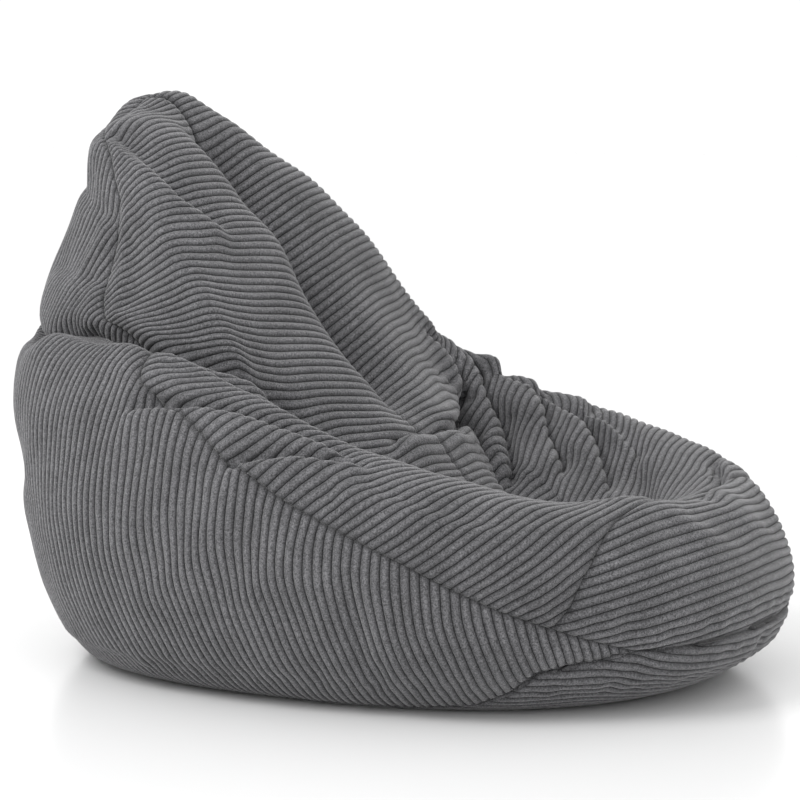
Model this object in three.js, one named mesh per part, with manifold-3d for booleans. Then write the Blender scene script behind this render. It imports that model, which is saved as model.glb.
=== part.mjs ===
// Bean bag chair: a zipped corduroy cover sewn from six panels, a zipped inner liner, and the bead fill.
// Millimetres, +Z up, origin on the floor under the middle of the chair. The sitter faces -Y.
import * as THREE from 'three';
import { LoftGeometry } from 'three/addons/geometries/LoftGeometry.js';
import { mergeVertices } from 'three/addons/utils/BufferGeometryUtils.js';
import Module from 'manifold-3d';

const wasm = await Module();
wasm.setup();

// ---- driving dimensions ----------------------------------------------------------------------------

const STATIONS = 40; // points round each ring of the body
const COVER_THICKNESS = 5; // corduroy with its pile
const LINER_OFFSET = 8.4; // from the outer surface to the outside of the liner
const LINER_THICKNESS = 1.6;
const FILL_OFFSET = 12; // from the outer surface to the beads
const SEAM_GAP = 0.6; // the slit between two panels that are sewn together

// Each ring goes once round the chair, from the middle of the base out to the widest part, up over the
// rim, up the hood, over its top and down its front to the middle of the seat.
// [half width, front y, back y, front z, side z, back z, squareness, pinch, lift, middle y, valley]
const RINGS = [
  [0, 0, 0, 0, 0, 0, 2, 1, 1, 0, 0], // middle of the base
  [270, -300, 320, 0, 0, 0, 2.2, 1, 1, 10, 0],
  [335, -415, 420, 0, 0, 0, 2.3, 1, 1, 20, 0], // edge of the flat base
  [392, -505, 458, 26, 30, 22, 2.3, 1, 1, 40, 0],
  [436, -565, 500, 90, 110, 115, 2.3, 1, 1, 50, 0],
  [460, -552, 532, 185, 222, 270, 2.3, 1, 1, 50, 0], // widest part
  [438, -512, 565, 248, 315, 400, 2.25, 1, 1, 50, 0],
  [395, -440, 562, 250, 360, 485, 2.25, 1, 1, 50, 0], // top of the rim
  [352, -385, 514, 228, 376, 448, 2.2, 1, 1, 50, 0], // fold between the rim and the hood
  [335, -350, 545, 198, 360, 535, 2.2, 0.9, 0.8, 50, 0],
  [306, -330, 495, 185, 358, 680, 2, 1.05, 0.55, 50, 0],
  [286, -315, 450, 180, 330, 797, 2, 1.2, 0.4, 50, 10], // top of the hood
  [243, -300, 352, 177, 290, 782, 2, 1.3, 0.4, 40, 25],
  [205, -285, 190, 175, 250, 610, 2, 1.2, 0.45, -10, 50],
  [160, -270, 30, 173, 218, 420, 2, 1.1, 0.55, -80, 55],
  [90, -250, -115, 171, 190, 290, 2, 1, 0.8, -170, 30],
  [0, -218, -218, 170, 170, 170, 2, 1, 1, -218, 0], // middle of the seat
];
const VALLEY_WIDTH = 55; // how far the valley along the hood's centre seam reaches to each side
const RING_SWEEP = 1.6; // how quickly a ring's height runs from its sides to its front and back
const MOST_SLANT = 0.4; // limits how far a layer reaches into a sharp fold

// Seams as side-view outlines, [y, z]. The cover is the same on both sides.
const PAST_TOP = 900; // a height above the whole chair
const PAST_RIM = 420; // a height above the front of the rim
const PAST_END = 620; // a distance past the chair's front and back
const BACK_SEAM = [
  [445, PAST_TOP], [430, 766], [380, 705], [345, 650], [338, 600], [345, 540], [325, 460], [260, 440],
  [228, 400], [174, 382], [121, 369], [16, 324], [-108, 269], [-234, 211], [-346, 151], [-403, 126],
];
const FRONT_CORNER = [-485, 88]; // where the back panel ends in a point on the base seam
const FRONT_SEAM = [[-403, 126], [-424, 156], [-441, 209], [-450, 263], [-450, PAST_RIM]];
const BASE_SEAM_REAR = [[PAST_END, 12], [200, 12], [0, 28], [-206, 46], [-332, 54], [-390, 70]];
const BASE_SEAM_FRONT = [-PAST_END, 104];
const OUTSIDE = 640; // a distance past the chair on every side
const SEAT_HOLLOW = { rx: 330, ry: 345, y: -100, z: 120 }; // the seat lining inside this oval has no side seams

// Both zips run along X across the base and are closed with their sliders near the -X end.
const COVER_ZIP = { name: 'cover_zip', length: 600, y: 150, coilZ: 3.2, tapeZ: 5.3, travel: 540 };
const LINER_ZIP = { name: 'liner_zip', length: 340, y: -60, coilZ: 8.2, tapeZ: 10.3, travel: 290 };
const TAPE = { width: 15, thickness: 1, inner: 1.3, overrun: 18 }; // inner: from the zip's middle line
const COIL = { width: 3.4, height: 1.8, inner: 0.95 };
const SLIT = 6; // half the gap between the panel edges beside a zip
const SLIDER = { length: 11, halfWidth: 4.6, plate: 1, post: 0.55, postLength: 4.5, clearance: 0.3 };
const STOP = { length: 3, clearance: 1.2 };
const LINER_BASE_TOP = 12.6; // the liner's base panels end at this height
const FILL_TRENCH = { halfWidth: 18, top: 13.4, overrun: 30 }; // room in the beads over the liner's zip

// ---- materials -------------------------------------------------------------------------------------

const material = (color, roughness, metalness = 0) =>
  new THREE.MeshStandardMaterial({ color, roughness, metalness });
const corduroy = material(0x626264, 0.95);
const linerFabric = material(0xdcdcd6, 0.8);
const tapeFabric = material(0x555557, 0.85);
const coilPlastic = material(0x4a4a4c, 0.45);
const sliderMetal = material(0x8d8f92, 0.35, 1);
const beads = material(0xf6f6f3, 0.7);

// ---- helpers ---------------------------------------------------------------------------------------

function toSolid(geometry) {
  const plain = new THREE.BufferGeometry().copy(geometry);
  plain.deleteAttribute('normal');
  plain.deleteAttribute('uv');
  const merged = mergeVertices(plain, 1e-4);
  const vertProperties = new Float32Array(merged.attributes.position.array);
  const corners = merged.index.array;
  const triangles = [];
  for (let i = 0; i < corners.length; i += 3) {
    const [a, b, c] = corners.subarray(i, i + 3);
    if (a !== b && b !== c && c !== a) triangles.push(a, b, c); // a loft's end ring is a single point
  }
  const triVerts = new Uint32Array(triangles);
  return new wasm.Manifold(new wasm.Mesh({ numProp: 3, vertProperties, triVerts }));
}

function toGeometry(solid) {
  const { vertProperties, triVerts } = solid.getMesh();
  const geometry = new THREE.BufferGeometry();
  geometry.setAttribute('position', new THREE.BufferAttribute(new Float32Array(vertProperties), 3));
  geometry.setIndex(new THREE.BufferAttribute(new Uint32Array(triVerts), 1));
  geometry.computeVertexNormals();
  return geometry;
}

// The biggest connected piece of a solid, without the slivers that a cut can leave.
function largestPiece(solid) {
  const pieces = solid.decompose();
  return pieces.reduce((best, piece) => (piece.volume() > best.volume() ? piece : best));
}

function addMesh(group, name, geometry, surface) {
  const mesh = new THREE.Mesh(geometry, surface);
  mesh.name = name;
  group.add(mesh);
}

function box(sizeX, sizeY, sizeZ, x, y, z) {
  return new THREE.BoxGeometry(sizeX, sizeY, sizeZ).translate(x, y, z);
}

// A side-view outline of [y, z] points, extruded right across the chair.
function sidePrism(points) {
  const shape = new THREE.Shape(points.map(([y, z]) => new THREE.Vector2(y, z)));
  const geometry = new THREE.ExtrudeGeometry(shape, { depth: 2 * OUTSIDE, bevelEnabled: false });
  const toSideView = new THREE.Matrix4().makeBasis(
    new THREE.Vector3(0, 1, 0), new THREE.Vector3(0, 0, 1), new THREE.Vector3(1, 0, 0));
  return toSolid(geometry.applyMatrix4(toSideView).translate(-OUTSIDE, 0, 0));
}

// A thin blade that follows a side-view line, to part two panels by SEAM_GAP.
function seamBlade(points) {
  const line = points.map(([y, z]) => new THREE.Vector2(y, z));
  const edge = (side) => line.map((point, i) => {
    const before = line[Math.max(i - 1, 0)];
    const after = line[Math.min(i + 1, line.length - 1)];
    const across = after.clone().sub(before).normalize();
    return [point.x - across.y * side * SEAM_GAP / 2, point.y + across.x * side * SEAM_GAP / 2];
  });
  return sidePrism([...edge(-1), ...edge(1).reverse()]);
}

// ---- the body's surface ----------------------------------------------------------------------------

function ringPoint(ring, angle) {
  const [halfWidth, frontY, backY, frontZ, sideZ, backZ, squareness, pinch, lift, middleY, valley] = ring;
  const along = Math.cos(angle); // 1 at the front, -1 at the back
  const across = Math.sin(angle);
  const roundness = 2 / squareness;
  const reach = Math.abs(along) ** roundness;
  const x = halfWidth * Math.sign(across) * Math.abs(across) ** (roundness * pinch);
  if (along > 0) {
    const rise = Math.abs(along) ** RING_SWEEP;
    return new THREE.Vector3(x, middleY + (frontY - middleY) * reach, sideZ + (frontZ - sideZ) * rise);
  }
  const rise = Math.abs(along) ** (RING_SWEEP * lift);
  const dip = valley * Math.exp(-((x / VALLEY_WIDTH) ** 2));
  return new THREE.Vector3(x, middleY + (backY - middleY) * reach + dip, sideZ + (backZ - sideZ) * rise);
}

const surface = RINGS.map((ring) =>
  Array.from({ length: STATIONS }, (_, i) => ringPoint(ring, (i / STATIONS) * 2 * Math.PI)));

// The direction a point moves when the surface is pulled in by 1 mm. Beside a fold it is longer than
// 1, so that the layers stay as thick there as they are elsewhere.
function inwardStep(ringIndex, station) {
  if (ringIndex === 0) return new THREE.Vector3(0, 0, 1);
  if (ringIndex === RINGS.length - 1) return new THREE.Vector3(0, 0, -1);
  const faceNormals = [];
  for (const k of [ringIndex - 1, ringIndex]) {
    for (const i of [station + STATIONS - 1, station]) {
      const [a, b] = [surface[k][i % STATIONS], surface[k][(i + 1) % STATIONS]];
      const [c, d] = [surface[k + 1][(i + 1) % STATIONS], surface[k + 1][i % STATIONS]];
      faceNormals.push(c.clone().sub(a).cross(d.clone().sub(b)).normalize());
    }
  }
  const normal = faceNormals.reduce((sum, n) => sum.add(n), new THREE.Vector3()).normalize();
  const slant = Math.min(...faceNormals.map((n) => n.dot(normal)));
  return normal.multiplyScalar(-1 / Math.max(slant, MOST_SLANT));
}

// The body's shape, pulled in by a distance, as one closed solid.
function bodySolid(offset) {
  const sections = surface.map((ring, k) =>
    ring.map((point, i) => point.clone().addScaledVector(inwardStep(k, i), offset)));
  return toSolid(new LoftGeometry(sections));
}

// ---- cover -----------------------------------------------------------------------------------------

// The slit that a zip closes, and the seam that carries it on to both sides.
function zipSlit(zip, bottom, top) {
  const height = top - bottom;
  const middle = (top + bottom) / 2;
  const slit = toSolid(box(zip.length, 2 * SLIT, height, 0, zip.y, middle));
  return slit.add(toSolid(box(2 * OUTSIDE, SEAM_GAP, height, 0, zip.y, middle)));
}

function halfSpace(side) {
  return toSolid(box(OUTSIDE, 2 * OUTSIDE, 4 * OUTSIDE, side * (OUTSIDE + SEAM_GAP) / 2, 0, 0));
}

function buildCover(group) {
  const seatOval = new THREE.CylinderGeometry(1, 1, 2 * OUTSIDE, 48).rotateX(Math.PI / 2)
    .scale(SEAT_HOLLOW.rx, SEAT_HOLLOW.ry, 1).translate(0, SEAT_HOLLOW.y, SEAT_HOLLOW.z + OUTSIDE);
  const seatHollow = toSolid(seatOval);
  const backSeam = [...BACK_SEAM, FRONT_CORNER];
  const baseSeam = [...BASE_SEAM_REAR, FRONT_CORNER, BASE_SEAM_FRONT];
  const shell = bodySolid(0).subtract(bodySolid(COVER_THICKNESS));
  const sewn = shell
    .subtract(seamBlade(backSeam).subtract(seatHollow))
    .subtract(seamBlade(FRONT_SEAM))
    .subtract(seamBlade(baseSeam));

  const baseRegion = sidePrism([...baseSeam, [-OUTSIDE, -OUTSIDE], [OUTSIDE, -OUTSIDE]]);
  const backRegion = sidePrism([...backSeam, ...[...BASE_SEAM_REAR].reverse(), [OUTSIDE, PAST_TOP]])
    .subtract(seatHollow);
  const frontRegion = sidePrism(
    [...[...FRONT_SEAM].reverse(), FRONT_CORNER, BASE_SEAM_FRONT, [-PAST_END, PAST_RIM]]);

  const base = sewn.intersect(baseRegion).subtract(zipSlit(COVER_ZIP, -OUTSIDE, OUTSIDE));
  const front = sewn.intersect(frontRegion);
  const back = sewn.intersect(backRegion);
  const sides = sewn.subtract(baseRegion).subtract(backRegion).subtract(frontRegion);

  const splitY = (solid, side) => largestPiece(solid.intersect(
    toSolid(box(2 * OUTSIDE, 2 * OUTSIDE, 4 * OUTSIDE, 0, COVER_ZIP.y + side * OUTSIDE, 0))));
  addMesh(group, 'cover_back_panel', toGeometry(largestPiece(back)), corduroy);
  addMesh(group, 'cover_left_panel', toGeometry(largestPiece(sides.intersect(halfSpace(1)))), corduroy);
  addMesh(group, 'cover_right_panel', toGeometry(largestPiece(sides.intersect(halfSpace(-1)))), corduroy);
  addMesh(group, 'cover_front_panel', toGeometry(largestPiece(front)), corduroy);
  addMesh(group, 'cover_base_front', toGeometry(splitY(base, -1)), corduroy);
  addMesh(group, 'cover_base_rear', toGeometry(splitY(base, 1)), corduroy);
}

// ---- zips ------------------------------------------------------------------------------------------

function coilSection(side) {
  const { width, height, inner } = COIL;
  const centre = side * (inner + width / 2);
  const shape = new THREE.Shape();
  shape.absellipse(centre, height / 2, width / 2, height / 2, 0, 2 * Math.PI, false, 0);
  return shape;
}

// Extrudes a cross-section drawn in [y, z] along X, centred on x = 0.
function alongX(shape, length, curveSegments = 3) {
  const geometry = new THREE.ExtrudeGeometry(shape, { depth: length, bevelEnabled: false, curveSegments });
  const toWorld = new THREE.Matrix4().makeBasis(
    new THREE.Vector3(0, 1, 0), new THREE.Vector3(0, 0, 1), new THREE.Vector3(1, 0, 0));
  return geometry.applyMatrix4(toWorld).translate(-length / 2, 0, 0);
}

// Two plates joined by a post: the coils run between the plates, one on each side of the post.
function sliderSolid(zip) {
  const { length, halfWidth, plate, post, postLength, clearance } = SLIDER;
  const lower = zip.coilZ - clearance - plate;
  const upper = zip.tapeZ + TAPE.thickness + clearance;
  const startX = -zip.travel / 2;
  const plateAt = (z) => toSolid(box(length, 2 * halfWidth, plate, startX, zip.y, z + plate / 2));
  const postHeight = upper - lower;
  const bridge = box(postLength, 2 * post, postHeight, startX, zip.y, lower + plate / 2 + postHeight / 2);
  return plateAt(lower).add(plateAt(upper)).add(toSolid(bridge));
}

function buildZip(group, zip) {
  const sides = [['front', -1], ['rear', 1]];
  for (const [sideName, side] of sides) {
    const tapeY = zip.y + side * (TAPE.inner + TAPE.width / 2);
    const tape = box(zip.length + 2 * TAPE.overrun, TAPE.width, TAPE.thickness,
      0, tapeY, zip.tapeZ + TAPE.thickness / 2);
    addMesh(group, `${zip.name}_tape_${sideName}`, tape, tapeFabric);
    const coil = alongX(coilSection(side), zip.length - 2 * (STOP.length + STOP.clearance));
    addMesh(group, `${zip.name}_coil_${sideName}`, coil.translate(0, zip.y, zip.coilZ), coilPlastic);
  }
  for (const [endName, end] of [['top_stop', -1], ['bottom_stop', 1]]) {
    const x = end * (zip.length - STOP.length) / 2;
    const stop = box(STOP.length, 2 * (COIL.inner + COIL.width), COIL.height,
      x, zip.y, zip.coilZ + COIL.height / 2);
    addMesh(group, `${zip.name}_${endName}`, stop, coilPlastic);
  }
  addMesh(group, `${zip.name}_slider`, toGeometry(sliderSolid(zip)), sliderMetal);
}

// ---- liner and fill --------------------------------------------------------------------------------

function buildLiner(group) {
  const shell = bodySolid(LINER_OFFSET).subtract(bodySolid(LINER_OFFSET + LINER_THICKNESS));
  const slab = (middleZ) => toSolid(box(2 * OUTSIDE, 2 * OUTSIDE, 2 * OUTSIDE, 0, 0, middleZ));
  const baseRegion = slab(LINER_BASE_TOP - SEAM_GAP / 2 - OUTSIDE);
  const upperRegion = slab(LINER_BASE_TOP + SEAM_GAP / 2 + OUTSIDE);
  const upper = shell.intersect(upperRegion);
  const base = shell.intersect(baseRegion).subtract(zipSlit(LINER_ZIP, -OUTSIDE, OUTSIDE));
  const splitY = (side) => largestPiece(base.intersect(
    toSolid(box(2 * OUTSIDE, 2 * OUTSIDE, 4 * OUTSIDE, 0, LINER_ZIP.y + side * OUTSIDE, 0))));
  addMesh(group, 'liner_left_panel', toGeometry(largestPiece(upper.intersect(halfSpace(1)))), linerFabric);
  addMesh(group, 'liner_right_panel', toGeometry(largestPiece(upper.intersect(halfSpace(-1)))), linerFabric);
  addMesh(group, 'liner_base_front', toGeometry(splitY(-1)), linerFabric);
  addMesh(group, 'liner_base_rear', toGeometry(splitY(1)), linerFabric);
}

function buildFill(group) {
  const { halfWidth, top, overrun } = FILL_TRENCH;
  const trench = box(LINER_ZIP.length + 2 * overrun, 2 * halfWidth, 2 * top, 0, LINER_ZIP.y, 0);
  addMesh(group, 'bead_fill', toGeometry(bodySolid(FILL_OFFSET).subtract(toSolid(trench))), beads);
}

// ---- assembly --------------------------------------------------------------------------------------

const chair = new THREE.Group();
chair.name = 'bean_bag_chair';
buildCover(chair);
buildZip(chair, COVER_ZIP);
buildLiner(chair);
buildZip(chair, LINER_ZIP);
buildFill(chair);

export default chair;
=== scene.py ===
"""Looks of the bean bag chair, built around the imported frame. Metres, +Z up, the sitter faces -Y.

The body's rings are the CAD model's rings. A grid over them is creased, settled as cloth and cut along the
seams into the cover's panels. Each panel is then cut along its corduroy ribs, so that every rib is geometry.
"""
import math

import bpy
import numpy as np
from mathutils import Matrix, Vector
from mathutils.bvhtree import BVHTree


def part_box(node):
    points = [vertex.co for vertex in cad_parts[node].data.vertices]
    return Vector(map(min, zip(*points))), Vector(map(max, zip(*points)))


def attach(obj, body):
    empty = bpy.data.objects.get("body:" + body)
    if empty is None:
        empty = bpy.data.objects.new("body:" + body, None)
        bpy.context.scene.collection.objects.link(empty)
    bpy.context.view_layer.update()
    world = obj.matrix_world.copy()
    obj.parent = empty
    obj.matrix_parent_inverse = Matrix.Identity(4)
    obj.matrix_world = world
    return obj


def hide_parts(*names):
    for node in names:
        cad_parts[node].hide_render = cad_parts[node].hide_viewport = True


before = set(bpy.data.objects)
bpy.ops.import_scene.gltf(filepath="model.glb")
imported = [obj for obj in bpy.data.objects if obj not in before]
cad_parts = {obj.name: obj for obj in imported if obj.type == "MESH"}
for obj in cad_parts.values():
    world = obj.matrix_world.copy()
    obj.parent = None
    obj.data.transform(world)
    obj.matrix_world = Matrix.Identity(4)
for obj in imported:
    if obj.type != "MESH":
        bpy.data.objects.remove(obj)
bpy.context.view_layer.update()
MM = 0.001

# ---- driving dimensions ----

GRID_CELL = 0.0088  # spacing of the grid that the cover is cut from
CLOTH_CELL = 0.022  # spacing of the cloth that settles
RIB_PITCH = 0.0121
RIB_DEPTH = 0.0038
RIB_STEPS = (0.0, 0.06, 0.15, 0.30, 0.50, 0.70, 0.85, 0.94)  # where a rib's cross-section has points
RIB_ROUNDNESS = 0.52  # 1 is a sine's half wave, and less is fuller
RIB_END = (0.003, 0.007)  # a rib reaches this far past the seam line, and takes this long to rise
RIB_UNEVENNESS = 0.10  # how much the pile's height differs from place to place
RIB_START = 0.25  # where across a rib the middle of each panel's ribs falls
RIB_WANDER = 0.06  # how far a rib strays, as a share of the pitch
SEAM_DEPTH = 0.0034  # how far a panel's edge turns in at a seam
SOLE_SEAM_DEPTH = 0.0024
SEAM_WIDTH = 0.0038
EDGE_THICKNESS = 0.0010  # cloth left at a panel's edge
SEAM_OVERLAP = 0.035  # each panel's ribs are worked out this far past its seams
FLOOR_GAP = 0.0003  # the pile under the body is pressed flat just above the floor
END_FADE = 0.16  # share of a crease's length over which it begins and ends
TROUGH_WIDTH = 1.7  # a trough under the cover is this much wider than its crease
TROUGH_DEPTH = 1.25  # and this much deeper
SWELLS = ((0.0028, 0.34, 3), (0.0012, 0.12, 4))  # height, breadth and seed of the filling's unevenness
SEAM_DRAW = 0.006  # how far the cloth sinks toward a seam
SEAM_DRAW_WIDTH = 0.022
BASE_SEAM_TIGHTNESS = 1.5  # the base's seam draws the cloth in over a band narrower by this factor
PLUMP_START = 0.02  # the filling pushes the cloth out only above this height
PLUMP_RISE = 0.06
CLOTH_FRAMES = 18
CLOTH_SLACK = 0.02  # the cloth is this much longer than the way between its seams
CLOTH_GRIP = 0.9  # how firmly a seam holds the cloth, and how far from it
CLOTH_GRIP_WIDTH = 0.03
FLOOR_HOLD = (0.015, 0.065)  # the cloth is held fast below the first height, and free above the second
CLOTH_SETTINGS = {
    "quality": 5, "mass": 0.3, "tension_stiffness": 12, "compression_stiffness": 12, "shear_stiffness": 6,
    "bending_stiffness": 3, "vertex_group_mass": "held", "pin_stiffness": 3, "shrink_min": -CLOTH_SLACK,
    "use_pressure": True, "uniform_pressure_force": 1.2,
}
MOST_SETTLING = 0.006
LINER_CELL = 0.014  # spacing of the grid under the liner and the fill
LINER_DEPTH = 0.0086  # how far the liner lies inside the body's surface
LINER_THICKNESS = 0.0014
LINER_BASE_TOP = 0.0126  # below this height the liner is its base
FILL_DEPTH = 0.0124
LUMPS = ((0.0010, 0.035, 8), (0.0006, 0.012, 9))  # height, breadth and seed of the beads' unevenness
ZIP_ROOM = 0.0025  # how far the beads are pressed up over the liner's zip
EASING = 0.5  # how much of each pleat the liner lets out at every step inward
INWARD_STEPS = 6
CLEARING_ROUNDS = 6  # how often the liner is moved clear of the cover
SLIT_HALF_WIDTH = 0.006  # of the opening in the cloth over a zip
TAPE_STATIONS = 161
TAPE_PROFILE = (  # place across the tape from the coil, and half the thickness there, as shares
    (0, 0.30), (0.03, 0.5), (0.10, 0.5), (0.14, 0.34), (0.5, 0.30), (0.9, 0.34), (0.97, 0.45), (1, 0.25),
)
FILAMENT = 0.00034  # radius of the zips' nylon filament
FILAMENT_SIDES = 5
TOOTH_PITCH = 0.0016
TURN_STEPS = 10
CAMERA_PLACE = (-3.411, -1.845, 0.807)
CAMERA_AIM = (0, 0.03, 0.40)
CAMERA_LENS = 122.3
CAMERA_SHIFT = (0.0245, -0.0298)
FLOOR_HALF = 30

# Each ring goes once round the body: the middle of the base, out to the widest part, over the rim, up the
# hood, over its top and down its front to the middle of the seat. Millimetres.
# half width, front y, back y, front z, side z, back z, squareness, pinch, lift, middle y, valley
RINGS = (
    (0, 0, 0, 0, 0, 0, 2, 1, 1, 0, 0),
    (270, -300, 320, 0, 0, 0, 2.2, 1, 1, 10, 0),
    (335, -415, 420, 0, 0, 0, 2.3, 1, 1, 20, 0),
    (392, -505, 458, 26, 30, 22, 2.3, 1, 1, 40, 0),
    (436, -565, 500, 90, 110, 115, 2.3, 1, 1, 50, 0),
    (460, -552, 532, 185, 222, 270, 2.3, 1, 1, 50, 0),
    (438, -512, 565, 248, 315, 400, 2.25, 1, 1, 50, 0),
    (395, -440, 562, 250, 360, 485, 2.25, 1, 1, 50, 0),
    (352, -385, 514, 228, 376, 448, 2.2, 1, 1, 50, 0),
    (335, -350, 545, 198, 360, 535, 2.2, 0.9, 0.8, 50, 0),
    (306, -330, 495, 185, 358, 680, 2, 1.05, 0.55, 50, 0),
    (286, -315, 450, 180, 330, 797, 2, 1.2, 0.4, 50, 10),
    (243, -300, 352, 177, 290, 782, 2, 1.3, 0.4, 40, 25),
    (205, -285, 190, 175, 250, 610, 2, 1.2, 0.45, -10, 50),
    (160, -270, 30, 173, 218, 420, 2, 1.1, 0.55, -80, 55),
    (90, -250, -115, 171, 190, 290, 2, 1, 0.8, -170, 30),
    (0, -218, -218, 170, 170, 170, 2, 1, 1, -218, 0),
)
RING_SWEEP = 1.6
VALLEY_WIDTH = 55

# Seams in the side view, (y, z), and the oval of seat lining that the back seam doesn't cross. Millimetres.
# Half the points of SIDE_RIBS and some of BACK_RIBS, CREASES, BACK_SEAM and FRONT_SEAM are copied, rounded, from
# a scratch program's output: the places on the body behind spots picked by eye in the photo.
BACK_SEAM = (
    (445, 900), (430, 766), (380, 705), (345, 650), (338, 600), (345, 540), (320, 460), (256, 415),
    (214, 392), (188, 372), (138, 353), (99, 343), (59, 332), (12, 313), (-39, 295), (-108, 268),
    (-234, 211), (-346, 151), (-403, 126),
)
FRONT_CORNER = (-485, 88)
FRONT_SEAM = ((-450, 900), (-450, 263), (-441, 209), (-424, 156), (-403, 126))
BASE_SEAM = (
    (700, 3), (200, 3), (0, 4), (-200, 7), (-285, 15), (-335, 36), (-376, 62), (-435, 77), FRONT_CORNER,
    (-700, 106),
)
SEAT_OVAL = (330, 345, -100, 120)  # half width, half length, middle y, lowest z
LINING_CLEARANCE = 0.04  # the back seam stays this far from the lining
RIM_PLACE = 7.6  # rings past this one belong to the hood and the seat
BORDER_INSIDE = 1.9  # the sole's border reaches in under the body to this ring
BORDER_OVERLAP = 0.4  # the border's ribs are worked out this part of a ring further in
RIM_WIDTH = 0.065  # metres between the rings there


# ---- small helpers ----

def smooth(t):
    t = np.clip(t, 0, 1)
    return t * t * (3 - 2 * t)


def unit(v):
    return v / np.maximum(np.linalg.norm(v, axis=-1, keepdims=True), 1e-12)


def noise(points, scale, seed=0):
    """A smooth random value between about -1 and 1 for each point, the same in every run."""
    rng = np.random.default_rng(seed)
    total = np.zeros(len(points))
    for _ in range(7):
        wave = unit(rng.normal(size=3)) * rng.uniform(0.6, 1.5) * 2 * math.pi / scale
        total += np.sin(points @ wave + rng.uniform(0, 2 * math.pi))
    return total / 3.2


# ---- the body's grid ----

def ring_points(ring, angle):
    half_width, front_y, back_y, front_z, side_z, back_z, squareness, pinch, lift, middle_y, valley = ring
    along, across = np.cos(angle), np.sin(angle)
    roundness = 2 / squareness
    x = half_width * np.sign(across) * np.abs(across) ** (roundness * pinch)
    front = along > 0
    end_y, end_z = np.where(front, front_y, back_y), np.where(front, front_z, back_z)
    sweep = RING_SWEEP * np.where(front, 1, lift)
    dip = np.where(front, 0, valley * np.exp(-((x / VALLEY_WIDTH) ** 2)))
    y = middle_y + (end_y - middle_y) * np.abs(along) ** roundness + dip
    z = side_z + (end_z - side_z) * np.abs(along) ** sweep
    return np.stack([x, y, z], -1) * MM


def row_points(position, angle):
    """Points of the body at a place between two rings, on a smooth curve through the rings."""
    k = min(int(position), len(RINGS) - 2)
    t = position - k
    p0, p1, p2, p3 = (ring_points(RINGS[min(max(i, 0), len(RINGS) - 1)], angle) for i in range(k - 1, k + 3))
    bend = (2 * p0 - 5 * p1 + 4 * p2 - p3) * t * t + (-p0 + 3 * p1 - 3 * p2 + p3) * t ** 3
    return 0.5 * (2 * p1 + (p2 - p0) * t + bend)


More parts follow.
